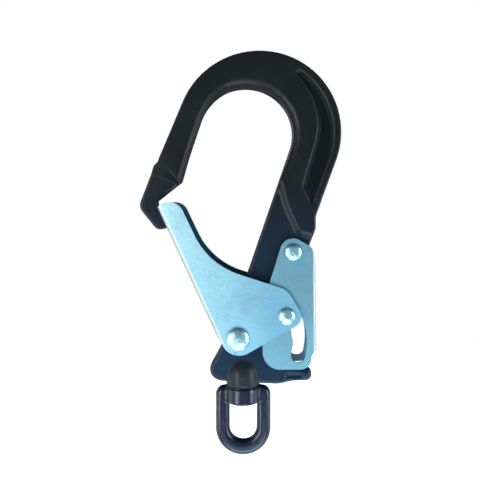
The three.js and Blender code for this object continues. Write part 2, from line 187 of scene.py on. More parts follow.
# ---- Outline and distance helpers ----
def rounded(corners, sag=0.02):
    """The points of an outline whose corners are rounded."""
    points = []
    count = len(corners)
    for i, (x, z, radius) in enumerate(corners):
        corner = np.array((x, z), float)
        if radius == 0:
            points.append(corner)
            continue
        arriving = corner - np.array(corners[i - 1][:2], float)
        leaving = np.array(corners[(i + 1) % count][:2], float) - corner
        arriving /= np.linalg.norm(arriving)
        leaving /= np.linalg.norm(leaving)
        turn = math.atan2(arriving[0] * leaving[1] - arriving[1] * leaving[0], float(arriving @ leaving))
        tangent = radius * math.tan(abs(turn) / 2)
        start = corner - arriving * tangent
        centre = start + np.array((-arriving[1], arriving[0])) * math.copysign(radius, turn)
        step = 2 * math.acos(1 - min(sag / radius, 0.3))
        chords = max(1, math.ceil(abs(turn) / step))
        for k in range(chords + 1):
            c, s = math.cos(turn * k / chords), math.sin(turn * k / chords)
            v = start - centre
            points.append(centre + np.array((c * v[0] - s * v[1], s * v[0] + c * v[1])))
    return np.array(points)


def signed_distance(x, z, polygon):
    """Distance to a closed polygon, negative inside."""
    best = np.full(x.shape, 1e9)
    inside = np.zeros(x.shape, bool)
    for (ax, az), (bx, bz) in zip(polygon, np.roll(polygon, -1, 0)):
        ex, ez = bx - ax, bz - az
        length2 = ex * ex + ez * ez
        if length2 < 1e-12:
            continue
        wx, wz = x - ax, z - az
        t = np.clip((wx * ex + wz * ez) / length2, 0, 1)
        best = np.minimum(best, (wx - ex * t) ** 2 + (wz - ez * t) ** 2)
        if ez:
            inside ^= ((az > z) != (bz > z)) & (wx < ex * wz / ez)
    return np.where(inside, -1, 1) * np.sqrt(best)


def smooth(t):
    t = np.clip(t, 0, 1)
    return t * t * (3 - 2 * t)


def fade_in(value, fade):
    """0 before the fade's start, 1 after its length."""
    return smooth((value - fade[0]) / fade[1])


def blended(a, b, amount):
    return a + (b - a) * amount


def ramp(t):
    """A slope with softly rounded ends."""
    return 0.55 * np.clip(t, 0, 1) + 0.45 * smooth(t)


def rounded_corner(a, b, radius):
    """The field of two half-spaces that meet in a rounded edge."""
    a, b = a + radius, b + radius
    return np.minimum(np.maximum(a, b), 0) + np.hypot(np.maximum(a, 0), np.maximum(b, 0)) - radius


def union(a, b, k):
    """Two fields joined with a fillet of about k."""
    h = np.clip(0.5 + 0.5 * (b - a) / k, 0, 1)
    return b * (1 - h) + a * h - k * h * (1 - h)


# ---- A field of samples to a mesh of quads ----
CORNERS = [(i, j, k) for i in (0, 1) for j in (0, 1) for k in (0, 1)]
EDGES = [(a, b) for a in range(8) for b in range(a + 1, 8) if bin(a ^ b).count("1") == 1]


def sample(field, p):
    """The field between its samples, at points p in steps of the grid."""
    top = np.array(field.shape) - 2
    cell = np.clip(p.astype(int), 0, top)
    f = p - cell
    total = np.zeros(len(p))
    for i, j, k in CORNERS:
        weight = (f[:, 0] if i else 1 - f[:, 0]) * (f[:, 1] if j else 1 - f[:, 1])
        weight = weight * (f[:, 2] if k else 1 - f[:, 2])
        total += weight * field[cell[:, 0] + i, cell[:, 1] + j, cell[:, 2] + k]
    return total


def gradient(field, p):
    return np.stack([sample(field, p + d) - sample(field, p - d) for d in 0.5 * np.eye(3)], 1)


def net_vertices(field, shape):
    """The cells that the zero surface crosses, and a vertex on it in each, in steps of the grid."""
    values = [field[i : i + shape[0], j : j + shape[1], k : k + shape[2]] for i, j, k in CORNERS]
    within = [v < 0 for v in values]
    some = np.logical_or.reduce(within)
    every = np.logical_and.reduce(within)
    cells = np.argwhere(some & ~every)
    at = [v[tuple(cells.T)] for v in values]
    total, hits = np.zeros((len(cells), 3)), np.zeros(len(cells))
    for a, b in EDGES:
        crosses = (at[a] < 0) != (at[b] < 0)
        t = np.where(crosses, at[a] / np.where(crosses, at[a] - at[b], 1), 0)[:, None]
        ca, cb = np.array(CORNERS[a]), np.array(CORNERS[b])
        total += np.where(crosses[:, None], ca + (cb - ca) * t, 0)
        hits += crosses
    vertices = cells + total / hits[:, None]
    for _ in range(3):
        g = gradient(field, vertices)
        move = sample(field, vertices) / np.maximum((g**2).sum(1), 1e-6)
        vertices = vertices - np.clip(move[:, None] * g, -0.4, 0.4)
    return cells, vertices


def surface_nets(field):
    """Vertices, in steps of the grid, and quads of the field's zero surface."""
    inside = field < 0
    shape = np.array(field.shape) - 1
    cells, vertices = net_vertices(field, shape)
    index = np.full(shape, -1, np.int64)
    index[tuple(cells.T)] = np.arange(len(cells))
    quads = []
    for axis in range(3):
        u, v = [(1, 2), (2, 0), (0, 1)][axis]
        low = [slice(None)] * 3
        high = [slice(None)] * 3
        low[axis], high[axis] = slice(0, -1), slice(1, None)
        first, second = inside[tuple(low)], inside[tuple(high)]
        places = np.argwhere(first != second)
        keep = (places[:, u] > 0) & (places[:, v] > 0)
        keep &= (places[:, u] < shape[u]) & (places[:, v] < shape[v])
        places = places[keep]
        leaving = first[tuple(places.T)]
        around = []
        for du, dv in ((1, 1), (0, 1), (0, 0), (1, 0)):
            q = places.copy()
            q[:, u] -= du
            q[:, v] -= dv
            around.append(index[tuple(q.T)])
        quad = np.stack(around, 1)
        quad[~leaving] = quad[~leaving][:, ::-1]
        quads.append(quad)
    return vertices, np.concatenate(quads)


def set_attribute(mesh, name, domain, values):
    """A number for each point or face, which the materials read."""
    mesh.attributes.new(name, "FLOAT", domain).data.foreach_set("value", np.asarray(values, np.float32))


def edge_strength(field, vertices, normals):
    """How sharply the surface bends at each vertex: 1 on an edge, -1 in a corner, 0 where it is flat."""
    reach = 1.6
    side = np.cross(normals, np.where(np.abs(normals[:, 1:2]) > 0.8, (1.0, 0, 0), (0, 1.0, 0)))
    side /= np.linalg.norm(side, axis=1, keepdims=True) + 1e-9
    other = np.cross(normals, side)
    here = sample(field, vertices)
    total = np.zeros(len(vertices))
    for direction in (side, -side, other, -other):
        total += sample(field, vertices + direction * reach) - here
    return total


def sample_places(low, high, step):
    """x and z of shape (nx, 1, nz), and y of shape (1, ny, 1)."""
    xs, ys, zs = [np.arange(a, b + step, step) for a, b in zip(low, high)]
    x, z = np.meshgrid(xs, zs, indexing="ij")
    return x[:, None, :], ys[None, :, None], z[:, None, :]


def field_mesh(name, shape_field, samples, slot):
    """A smooth mesh of a field's zero surface, with the attributes wall and edge."""
    step = samples["step"]
    field = shape_field(*sample_places(samples["low"], samples["high"], step))
    vertices, quads = surface_nets(field)
    normals = gradient(field, vertices)
    normals /= np.linalg.norm(normals, axis=1, keepdims=True) + 1e-9
    points = (vertices * step + samples["low"]) * MM
    mesh = bpy.data.meshes.new(name)
    mesh.vertices.add(len(points))
    mesh.vertices.foreach_set("co", points.astype(np.float32).ravel())
    mesh.loops.add(quads.size)
    mesh.loops.foreach_set("vertex_index", quads.astype(np.int32).ravel())
    mesh.polygons.add(len(quads))
    mesh.polygons.foreach_set("loop_start", np.arange(0, quads.size, 4, dtype=np.int32))
    mesh.update(calc_edges=True)
    mesh.validate()
    mesh.shade_smooth()
    # wall: reflections dulled where a face looks sideways, as painted shade on the walls and broad
    # roundings.
    set_attribute(mesh, "wall", "POINT", smooth((0.74 - np.abs(normals[:, 1])) / 0.4))
    set_attribute(mesh, "edge", "POINT", np.clip(edge_strength(field, vertices, normals) / step, -1, 1))
    obj = bpy.data.objects.new(name, mesh)
    bpy.context.scene.collection.objects.link(obj)
    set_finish(obj, slot)
    return obj


def positions(obj):
    """The x, y and z of an object's vertices."""
    co = np.empty(len(obj.data.vertices) * 3, np.float32)
    obj.data.vertices.foreach_get("co", co)
    return (co.reshape(-1, 3) / MM).T


# ---- Hook body ----
def line_side(x, z, start, end):
    """Distance past a line, positive on its right going from start to end."""
    dx, dz = end[0] - start[0], end[1] - start[1]
    length = math.hypot(dx, dz)
    return ((z - start[1]) * -dx + (x - start[0]) * dz) / length


def nose_lines(x, z):
    """Distances past the lines where the nose starts to thin and where it has thinned."""
    return line_side(x, z, *FACET_START), line_side(x, z, *FACET_END)


def body_half_thickness(x, z):
    """Thick arm, thin web, thinning nose, sunk pocket."""
    past_arm = signed_distance(x, z, rounded(THICK_REGION))
    half = ARM_HALF - (ARM_HALF - WEB_HALF) * ramp((past_arm + THINNING["start"]) / THINNING["width"])
    upper, lower = nose_lines(x, z)
    facet = np.where(lower >= 0, 1, upper / np.maximum(upper - lower, 1e-6))
    facet = np.where(x < NOSE_SIDE, np.clip(np.where(upper > 0, facet, 0), 0, 1), 0)
    half = half - (ARM_HALF - NOSE_HALF) * facet
    pocket = signed_distance(x, z, rounded(POCKET))
    return half - POCKET_DEPTH * ramp(-pocket / POCKET_SLOPE)


def body_edge_radius(x, z, outline, wing):
    """Edges rounded broadly round the bowl, on the wing and on the lobe, and little elsewhere."""
    from_bowl = signed_distance(x, z, rounded(BOWL))
    to_back = smooth((from_bowl / np.maximum(from_bowl - outline, 1e-3) - 0.55) / 0.35)
    low_right = fade_in(-z, LOW_FADE) * (x > 0)
    inner = EDGE_RADIUS["bowl"] - BOWL_EDGE_DROP["left"] * fade_in(-x, LEFT_FADE)
    inner = inner - BOWL_EDGE_DROP["low_right"] * low_right
    in_bowl_part = (z > -64) & (from_bowl > -1)
    radius = np.where(in_bowl_part, blended(inner, EDGE_RADIUS["arm_back"], to_back), EDGE_RADIUS["other"])
    on_nose = np.where(x < NOSE_SIDE, fade_in(nose_lines(x, z)[0], NOSE_FADE), 0)
    radius = blended(radius, EDGE_RADIUS["nose"], on_nose)
    radius = blended(radius, EDGE_RADIUS["shank"], fade_in(-z, SHANK_FADE) * (x > -20))
    radius = blended(radius, EDGE_RADIUS["wing"], wing)
    return blended(radius, EDGE_RADIUS["lobe"], fade_in(-x, LOBE_FADE_X) * fade_in(-z, LOBE_FADE_Z))


def ball_race(from_axis, z):
    return np.hypot(from_axis - BALLS["pitch"], z - BALLS["z"]) - BALLS["radius"] - BALLS["play"]


def body_hollows(x, y, z):
    """Fields of all that is cut out of the forging."""
    lens = (
        ((x - LENS["x"]) / LENS["length"]) ** 2
        + ((z - LENS["z"]) / LENS["width"]) ** 2
        + ((np.abs(y) - LENS["y"]) / LENS["width"]) ** 2
    )
    yield (np.sqrt(lens) - 1) * LENS["slope"]
    for pivot, bushing in ((GATE_PIVOT, GATE_BUSHING), (LEVER_PIVOT, LEVER_BUSHING)):
        yield np.hypot(x - pivot[0], z - pivot[1]) - (bushing + CLEARANCE)
    well = np.hypot(y, z - LEVER_SPRING["z"]) - LEVER_SPRING["well"]
    yield np.maximum(well, LEVER_SPRING["bottom"] - x)
    hole = np.hypot(x - GATE_PIVOT[0], z - (GATE_PIVOT[1] + GATE_SPRING["hook"])) - GATE_SPRING["hole"]
    yield np.maximum(hole, WEB_HALF - GATE_SPRING["hole_depth"] - np.abs(y))
    from_axis = np.hypot(x, y)
    yield np.maximum(from_axis - STEM_RADIUS - CLEARANCE, z - STEM_TOP - CLEARANCE)
    yield ball_race(from_axis, z)
    loading = np.hypot(x, z - BALLS["z"]) - BALLS["radius"] - LOADING_HOLE["play"]
    yield np.maximum(loading, np.maximum(y + BALLS["pitch"], LOADING_HOLE["covered_from"] - y))


def body_field(x, y, z):
    outline = signed_distance(x, z, rounded(BODY))
    wing = fade_in(x, WING_FADE_X) * fade_in(-z, WING_FADE_Z)
    half = body_half_thickness(x, z) - WING_DROP * wing
    radius = np.minimum(body_edge_radius(x, z, outline, wing), half - 0.2)
    f = rounded_corner(outline, np.abs(y) - half, radius)
    away_from_parting = 1 - np.exp(-((y / PARTING["width"]) ** 2))
    f = f + PARTING["height"] * away_from_parting * smooth(1 + outline / PARTING["fade"])
    from_axis = np.hypot(x, y)
    dome = np.where(
        z > DOME_CENTRE,
        np.sqrt(from_axis**2 + (z - DOME_CENTRE) ** 2) - SOCKET_RADIUS,
        rounded_corner(from_axis - SOCKET_RADIUS, SOCKET_BOTTOM - z, SOCKET_EDGE),
    )
    f = union(f, dome, DOME_BLEND)
    for hollow in body_hollows(x, y, z):
        f = np.maximum(f, -hollow)
    return f


def mark_forged_faces(obj):
    """The attributes turned, on the dome, and the one that dulls reflections in the pocket and on the
    nose's facet, partly for a rough as-forged face and partly as painted shade.
    """
    x, y, z = positions(obj)
    from_dome = np.sqrt(x**2 + y**2 + np.maximum(z - DOME_CENTRE, 0) ** 2)
    turned = smooth((SOCKET_RADIUS + 1.6 - from_dome) / 1.2) * smooth((np.abs(y) - WEB_HALF + 0.6) / 0.8)
    set_attribute(obj.data, "turned", "POINT", turned)
    in_pocket = smooth((-signed_distance(x, z, rounded(POCKET)) - 0.8) / 0.9)
    upper, lower = nose_lines(x, z)
    in_facet = smooth((upper + 1.4) / 1.8) * smooth((0.8 - lower) / 1.8) * (x < NOSE_SIDE)
    set_attribute(obj.data, "forged_and_shaded", "POINT", np.maximum(0.75 * in_pocket, 0.7 * in_facet))


hook = field_mesh("hook_body_forged", body_field, BODY_SAMPLES, "black_anodised")
mark_forged_faces(hook)
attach(hook, "hook")
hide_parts("hook_body")


# ---- Swivel eye ----
def eye_field(x, y, z):
    outer = signed_distance(x, z, rounded(EYE_OUTSIDE))
    opening = signed_distance(x, z, rounded(EYE_OPENING))
    f = rounded_corner(np.maximum(outer, -opening), np.abs(y) - EYE_HALF, EYE_EDGE)
    from_axis = np.hypot(x, y)
    from_collar = np.abs(z - (COLLAR_TOP + COLLAR_BOTTOM) / 2) - (COLLAR_TOP - COLLAR_BOTTOM) / 2
    f = union(f, rounded_corner(from_axis - SOCKET_RADIUS, from_collar, COLLAR_EDGE), COLLAR_BLEND)
    f = np.maximum(f, z - COLLAR_TOP)
    stem = np.maximum(from_axis - STEM_RADIUS, z - STEM_TOP)
    f = np.minimum(f, np.maximum(stem, COLLAR_BOTTOM - z))
    return np.maximum(f, -ball_race(from_axis, z))


eye = field_mesh("eye_forged", eye_field, EYE_SAMPLES, "black_steel")
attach(eye, "eye")
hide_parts("swivel_eye")


# ---- Mesh helpers ----
def mesh_object(name, vertices, faces):
    mesh = bpy.data.meshes.new(name)
    mesh.from_pydata([Vector(v) * MM for v in vertices], [], faces)
    mesh.update()
    obj = bpy.data.objects.new(name, mesh)
    bpy.context.scene.collection.objects.link(obj)
    return obj


def consistent(obj):
    """Faces all turned outwards."""
    bm = bmesh.new()
    bm.from_mesh(obj.data)
    bmesh.ops.recalc_face_normals(bm, faces=bm.faces)
    bm.to_mesh(obj.data)
    bm.free()
    return obj


def prism(name, points, low, high, place):
    """A solid with the outline points, from low to high across it; place maps (u, v, w) to a position."""
    n = len(points)
    vertices = [place(u, v, w) for w in (low, high) for u, v in points]
    faces = [list(range(n))[::-1], list(range(n, 2 * n))]
    faces += [[i, (i + 1) % n, n + (i + 1) % n, n + i] for i in range(n)]
    return consistent(mesh_object(name, vertices, faces))


def boolean(obj, other, operation):
    modifier = obj.modifiers.new("cut", "BOOLEAN")
    modifier.object = other
    modifier.operation = operation
    modifier.solver = "EXACT"
    bake(obj)
    bpy.data.objects.remove(other)


def bake(obj):
    """Replaces the object's mesh with its modified one."""
    depsgraph = bpy.context.evaluated_depsgraph_get()
    made = bpy.data.meshes.new_from_object(
        obj.evaluated_get(depsgraph), preserve_all_data_layers=True, depsgraph=depsgraph
    )
    obj.modifiers.clear()
    old = obj.data
    obj.data = made
    made.name = obj.name
    bpy.data.meshes.remove(old)


def soften(obj, width):
    """Rounded edges on a sheet part, with flat faces that shade flat."""
    bevel = obj.modifiers.new("edge", "BEVEL")
    bevel.width = width * MM
    bevel.segments = 2
    bevel.limit_method = "ANGLE"
    bevel.angle_limit = math.radians(35)
    bake(obj)
    obj.data.shade_smooth()
    obj.data.set_sharp_from_angle(angle=math.radians(32))
    weighted = obj.modifiers.new("flat", "WEIGHTED_NORMAL")
    weighted.keep_sharp = True
    weighted.mode = "FACE_AREA"
    bake(obj)


def lathe(name, profile, at, axis="Y", segments=64, closed=False, wobble=0.0):
    """A turned piece.

    The profile is (radius, distance along the axis); at is (x, z) for the axis Y and (x, y) for Z.
    """
    vertices, faces, rings = [], [], []
    for k, (radius, along) in enumerate(profile):
        if radius < 1e-6:
            rings.append([len(vertices)])
            vertices.append((0, 0, along))
            continue
        rings.append(list(range(len(vertices), len(vertices) + segments)))
        for i in range(segments):
            angle = 2 * math.pi * i / segments
            r = radius * (1 + wobble * (0.6 * math.sin(3 * angle + 1.3) + 0.4 * math.sin(5 * angle + k)))
            vertices.append((r * math.cos(angle), r * math.sin(angle), along))
    pairs = list(zip(rings, rings[1:])) + ([(rings[-1], rings[0])] if closed else [])
    for a, b in pairs:
        for i in range(segments):
            j = (i + 1) % segments
            face = [a[i % len(a)], a[j % len(a)], b[j % len(b)], b[i % len(b)]]
            face = list(dict.fromkeys(face))
            if len(face) > 2:
                faces.append(face)
    if axis == "Y":
        vertices = [(at[0] + u, w, at[1] + v) for u, v, w in vertices]
    else:
        vertices = [(at[0] + u, at[1] + v, w) for u, v, w in vertices]
    obj = consistent(mesh_object(name, vertices, faces))
    obj.data.shade_smooth()
    obj.data.set_sharp_from_angle(angle=math.radians(38))
    return obj


def tube(name, path, radius):
    """A wire along a smooth path of points."""
    sides = 12
    path = np.array(path, float)
    ahead = np.gradient(path, axis=0)
    ahead /= np.linalg.norm(ahead, axis=1, keepdims=True)
    normal = np.cross(ahead[0], (0.3, 0.2, 0.9))
    vertices = []
    for p, t in zip(path, ahead):
        normal = normal - t * (normal @ t)
        normal /= np.linalg.norm(normal)
        other = np.cross(t, normal)
        for i in range(sides):
            a = 2 * math.pi * i / sides
            vertices.append(p + radius * (math.cos(a) * normal + math.sin(a) * other))
    n = len(path)
    faces = [list(range(sides))[::-1], list(range((n - 1) * sides, n * sides))]
    for k in range(n - 1):
        for i in range(sides):
            j = (i + 1) % sides
            faces.append([k * sides + i, k * sides + j, (k + 1) * sides + j, (k + 1) * sides + i])
    obj = consistent(mesh_object(name, vertices, faces))
    obj.data.shade_smooth()
    obj.data.set_sharp_from_angle(angle=math.radians(50))
    return obj


def through(points, per):
    """A Catmull-Rom curve through points, with per steps between two of them."""
    p = np.array(points, float)
    p = np.vstack([2 * p[0] - p[1], p, 2 * p[-1] - p[-2]])
    made = []
    for i in range(1, len(p) - 2):
        for k in range(per):
            t = k / per
            a, b, c, d = p[i - 1 : i + 3]
            squared, cubed = (2 * a - 5 * b + 4 * c - d) * t**2, (3 * b - a - 3 * c + d) * t**3
            made.append(0.5 * (2 * b + (c - a) * t + squared + cubed))
    made.append(p[-2])
    return np.array(made)


def piece(obj, body, slot, *nodes):
    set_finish(obj, slot)
    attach(obj, body)
    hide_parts(*nodes)
    return obj


# ---- Gate and lock lever, folded from sheet ----
def along_y(u, v, w):
    return (u, w, v)


def cut_away(obj, outline, low, high, place=along_y):
    boolean(obj, prism("cutter", outline, low, high, place), "DIFFERENCE")


def mark_folded_faces(obj, low, inward, sheet, bend, inside):
    """The face attributes inner, on the hidden side of the sheet, and fold and rim, on its bends: where the
    zinc takes its painted shade and painted reflection.
    """
    slack = 0.02
    inner, fold, rim = [], [], []
    for polygon in obj.data.polygons:
        x, y, z = (c / MM for c in polygon.center)
        depth = (np.array((x, z)) - low) @ inward
        sideways = abs(polygon.normal.y)
        inner.append(abs(y) < inside + slack and depth > sheet - slack)
        fold.append(depth < bend and FOLD_BAND[0] < sideways < FOLD_BAND[1])
        rim.append(depth < bend and RIM_BAND[0] < sideways < RIM_BAND[1])
    for kind, values in (("inner", inner), ("fold", fold), ("rim", rim)):
        set_attribute(obj.data, kind, "FACE", values)


def folded(name, leaf, back, half_width, sheet, bend, bores, slots, open_below):
    """A channel folded from sheet and trimmed to the leaf. Its back runs between back's two corners."""
    low, high = (np.array(corner[:2], float) for corner in back)
    along = (high - low) / np.linalg.norm(high - low)
    inward = np.array((along[1], -along[0]))
    if inward @ (np.array(leaf).mean(0)[:2] - low) < 0:
        inward = -inward
    inside = half_width - sheet
    reach, length = 100, 130
    section = rounded(
        [
            (reach, -half_width, 0), (0, -half_width, bend), (0, half_width, bend), (reach, half_width, 0),
            (reach, inside, 0), (sheet, inside, bend - sheet),
            (sheet, -inside, bend - sheet), (reach, -inside, 0),
        ],
        0.012,
    )

    def place(u, v, w):
        q = low + inward * u + along * w
        return (q[0], v, q[1])

    obj = prism(name, section, -length, length, place)
    past = half_width + 1
    boolean(obj, prism("trim", rounded(leaf, 0.015), -past, past, along_y), "INTERSECT")
    for slot in slots:
        cut_away(obj, rounded(slot, 0.015), -past, past)
    for (x, z), r in bores:
        ring = [(x + r * math.cos(a), z + r * math.sin(a)) for a in np.linspace(0, 2 * math.pi, 49)[:-1]]
        cut_away(obj, ring, -past, past)
    if open_below:
        gap = inside - 0.05
        cut_away(obj, [(-4, -gap), (4, -gap), (4, gap), (-4, gap)], -30, 0, place)
    soften(obj, SHEET_EDGE)
    mark_folded_faces(obj, low, inward, sheet, bend, inside)
    return obj


gate = folded(
    "gate_folded", GATE_LEAF, (GATE_LEAF[-1], GATE_LEAF[0]), GATE_HALF_WIDTH, GATE_SHEET, GATE_BEND,
    bores=[(GATE_PIVOT, GATE_RIVET["shank"] + CLEARANCE), (LOCK_PIN, LOCK_RIVET["shank"] + CLEARANCE)],
    slots=[], open_below=True,
)
piece(gate, "gate", "zinc_sheet", "gate")
lever = folded(
    "lever_folded", LEVER_LEAF, (LEVER_LEAF[3], LEVER_LEAF[2]), LEVER_HALF_WIDTH, LEVER_SHEET, LEVER_BEND,
    bores=[(LEVER_PIVOT, LEVER_RIVET["shank"] + CLEARANCE)],
    slots=[LEVER_SLOT], open_below=False,
)
piece(lever, "lever", "zinc_sheet", "lock_lever")


# ---- Rivets, washers, bushings ----
def rivet(name, size, half_width, at):
    """A domed rivet, closed over a washer at the back."""
    shank, head, height = size["shank"], size["head"], size["height"]
    seat = half_width + CLEARANCE / 2
    closed = half_width + WASHER + CLEARANCE
    rim = 0.5
    profile = [(0, -seat - height)]
    for i in range(1, 15):
        angle = math.pi / 2 * i / 14
        profile.append((head * math.sin(angle), -seat - rim - (height - rim) * math.cos(angle) ** 1.15))
    profile += [(head, -seat - 0.12), (head - 0.15, -seat), (shank, -seat), (shank, closed)]
    profile += [(head * 0.78, closed), (head * 0.8, closed + 0.15)]
    crown = closed + 0.3
    for i in range(9):
        angle = math.pi / 2 * i / 8
        profile.append((head * (0.36 + 0.44 * math.cos(angle)), crown + height * 0.5 * math.sin(angle)))
    profile += [(head * 0.2, crown + height * 0.44), (0, crown + height * 0.42)]
    return lathe(name, profile, at, wobble=0.004)


def ring_piece(name, inner, outer, low, high, at, axis="Y", edge=0.15):
    """A turned ring whose outer edges are broken."""
    profile = [(inner, low), (outer - edge, low), (outer, low + edge)]
    profile += [(outer, high - edge), (outer - edge, high), (inner, high)]
    return lathe(name, profile, at, axis=axis, closed=True)


def riveted_joint(kind, body, size, at, half_width, sheet, washer_node, sleeve_node, sleeve_radius):
    """A rivet, the washer under its closed end, and the sleeve that it clamps between the leaves."""
    bore = size["shank"] + CLEARANCE
    seat = half_width + CLEARANCE / 2
    reach = half_width - sheet - CLEARANCE
    head = rivet(kind + "_rivet_head", size, half_width, at)
    piece(head, body, "rivet_steel", kind + "_rivet")
    washer = ring_piece(kind + "_washer_ring", bore, size["head"] * 0.98, seat, seat + WASHER, at)
    piece(washer, body, "rivet_steel", washer_node)
    sleeve = ring_piece(sleeve_node + "_turned", bore, sleeve_radius, -reach, reach, at)
    piece(sleeve, body, "bearing_steel", sleeve_node)


riveted_joint(
    "gate", "gate", GATE_RIVET, GATE_PIVOT, GATE_HALF_WIDTH, GATE_SHEET,
    "gate_rivet_washer", "gate_bushing", GATE_BUSHING,
)
riveted_joint(
    "lever", "lever", LEVER_RIVET, LEVER_PIVOT, LEVER_HALF_WIDTH, LEVER_SHEET,
    "lever_rivet_washer", "lever_bushing", LEVER_BUSHING,
)
riveted_joint(
    "lock_pin", "gate", LOCK_RIVET, LOCK_PIN, GATE_HALF_WIDTH, GATE_SHEET,
    "lock_pin_washer", "lock_pin_sleeve", LOCK_SLEEVE,
)

spacer_low, spacer_high = WEB_HALF + CLEARANCE, LEVER_HALF_WIDTH - LEVER_SHEET - CLEARANCE
for side, word in ((-1, "front"), (1, "back")):
    ends = sorted((side * spacer_low, side * spacer_high))
    spacer = ring_piece("spacer_ring_" + word, LEVER_BUSHING + CLEARANCE, SPACER_RADIUS, *ends, LEVER_PIVOT)
    piece(spacer, "hook", "bearing_steel", "lever_spacer_" + word)


# ---- Springs ----
def gate_spring(side):
    """The wire's path, from its end hooked into the web to its leg, and the coil's two depths."""
    radius, wire, bend = GATE_SPRING["radius"], GATE_SPRING["wire"], GATE_SPRING["bend"]
    inner = WEB_HALF + CLEARANCE + wire
    outer = GATE_HALF_WIDTH - GATE_SHEET - CLEARANCE - wire
    hook = GATE_SPRING["hook"]

    def at(x, depth, z):
        return np.array((GATE_PIVOT[0] + x, side * depth, GATE_PIVOT[1] + z))

    cut = bend * (1 - math.sqrt(0.5))
    points = [
        at(0, WEB_HALF - 2, hook), at(0, inner - bend, hook), at(0, inner - cut, hook - cut),
        at(0, inner, hook - bend), at(radius * 0.75, inner, radius * 0.95),
    ]
    per_turn = 14
    count = round(per_turn * (GATE_SPRING["turns"] + 0.42))
    for i in range(count + 1):
        angle = math.radians(12) - 2 * math.pi * i / per_turn
        depth = inner + (outer - inner) * i / count
        points.append(at(radius * math.cos(angle), depth, radius * math.sin(angle)))
    along = np.array((GATE_LEAF[0][0] - GATE_LEAF[-1][0], 0, GATE_LEAF[0][1] - GATE_LEAF[-1][1]))
    along /= np.linalg.norm(along)
    points += [points[-1] + along * GATE_SPRING["leg"] * 0.4, points[-1] + along * GATE_SPRING["leg"]]
    return through(points, 5), inner, outer


for side, word in ((-1, "front"), (1, "back")):
    path, inner, outer = gate_spring(side)
    spring = tube("gate_coil_" + word, path, GATE_SPRING["wire"])
    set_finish(spring, "spring_steel")
    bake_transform(spring)
    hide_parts("gate_spring_" + word)


def lever_spring():
    start = LEVER_SPRING["bottom"] + CLEARANCE + LEVER_SPRING["wire"]
    end = LEVER_SPRING["top"] - CLEARANCE - LEVER_SPRING["wire"]
    radius = LEVER_SPRING["radius"]
    per_turn = 24
    count = per_turn * LEVER_SPRING["turns"]
    path = []
    for i in range(count + 1):
        angle = 2 * math.pi * i / per_turn
        x = start + (end - start) * i / count
        path.append((x, radius * math.cos(angle), LEVER_SPRING["z"] + radius * math.sin(angle)))
    return path


spring = tube("lever_coil", lever_spring(), LEVER_SPRING["wire"])
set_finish(spring, "spring_steel")
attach(spring, "hook")
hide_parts("lever_spring")
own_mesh(spring)


# ---- Swivel's small pieces ----
thrust = ring_piece(
    "thrust_ring", STEM_RADIUS + CLEARANCE, SOCKET_RADIUS - 0.5,
    COLLAR_TOP + CLEARANCE, SOCKET_BOTTOM - CLEARANCE, (0, 0), axis="Z", edge=0.08,
)
piece(thrust, "hook", "black_steel", "swivel_thrust_washer")
seat = -SOCKET_RADIUS + 0.1
plug = lathe(
    "ball_plug_turned",
    [
        (0, seat - 0.34), (0.4, seat - 0.3), (0.75, seat - 0.17),
        (PLUG_RADIUS, seat + 0.1), (PLUG_RADIUS, seat + PLUG_DEPTH), (0, seat + PLUG_DEPTH),
    ],
    (0, BALLS["z"]), segments=32,
)
piece(plug, "hook", "black_steel", "swivel_ball_plug")


def race_ball(number):
    radius, pitch, z = BALLS["radius"], BALLS["pitch"], BALLS["z"]
    profile = [(radius * math.sin(a), z - radius * math.cos(a)) for a in np.linspace(0, math.pi, 13)]
    profile[0], profile[-1] = (0, profile[0][1]), (0, profile[-1][1])
    angle = 2 * math.pi * (number - 0.5) / BALLS["count"] - math.pi / 2
    at = (pitch * math.cos(angle), pitch * math.sin(angle))
    ball = lathe(f"race_ball_{number:02d}", profile, at, axis="Z", segments=24)
    ball.data.shade_smooth()
    return ball


for number in range(1, BALLS["count"] + 1):
    piece(race_ball(number), "hook", "bearing_steel", f"swivel_ball_{number:02d}")


# ---- Materials ----
# Painted bluish light: between these heights the black turns bluer down the hook, as if lit bluer from
# below.
BLUE_LIGHT_FADE = (-0.055, -0.15)  # the black turns bluer down the hook, between these heights
TURNED_BLACK = (0.010, 0.019, 0.027)
# Pale edge colour: rubbed wear and painted highlight.
RUBBED_AND_LIT_BLACK = (0.05, 0.06, 0.07)
SCRATCHED_BLACK = (0.06, 0.07, 0.08)
# Neutral grey on the bends: a painted reflection of the white light they catch.
FOLD_REFLECTION_GREY = (0.50, 0.50, 0.47)
ZINC_ROUGHNESS = 0.5


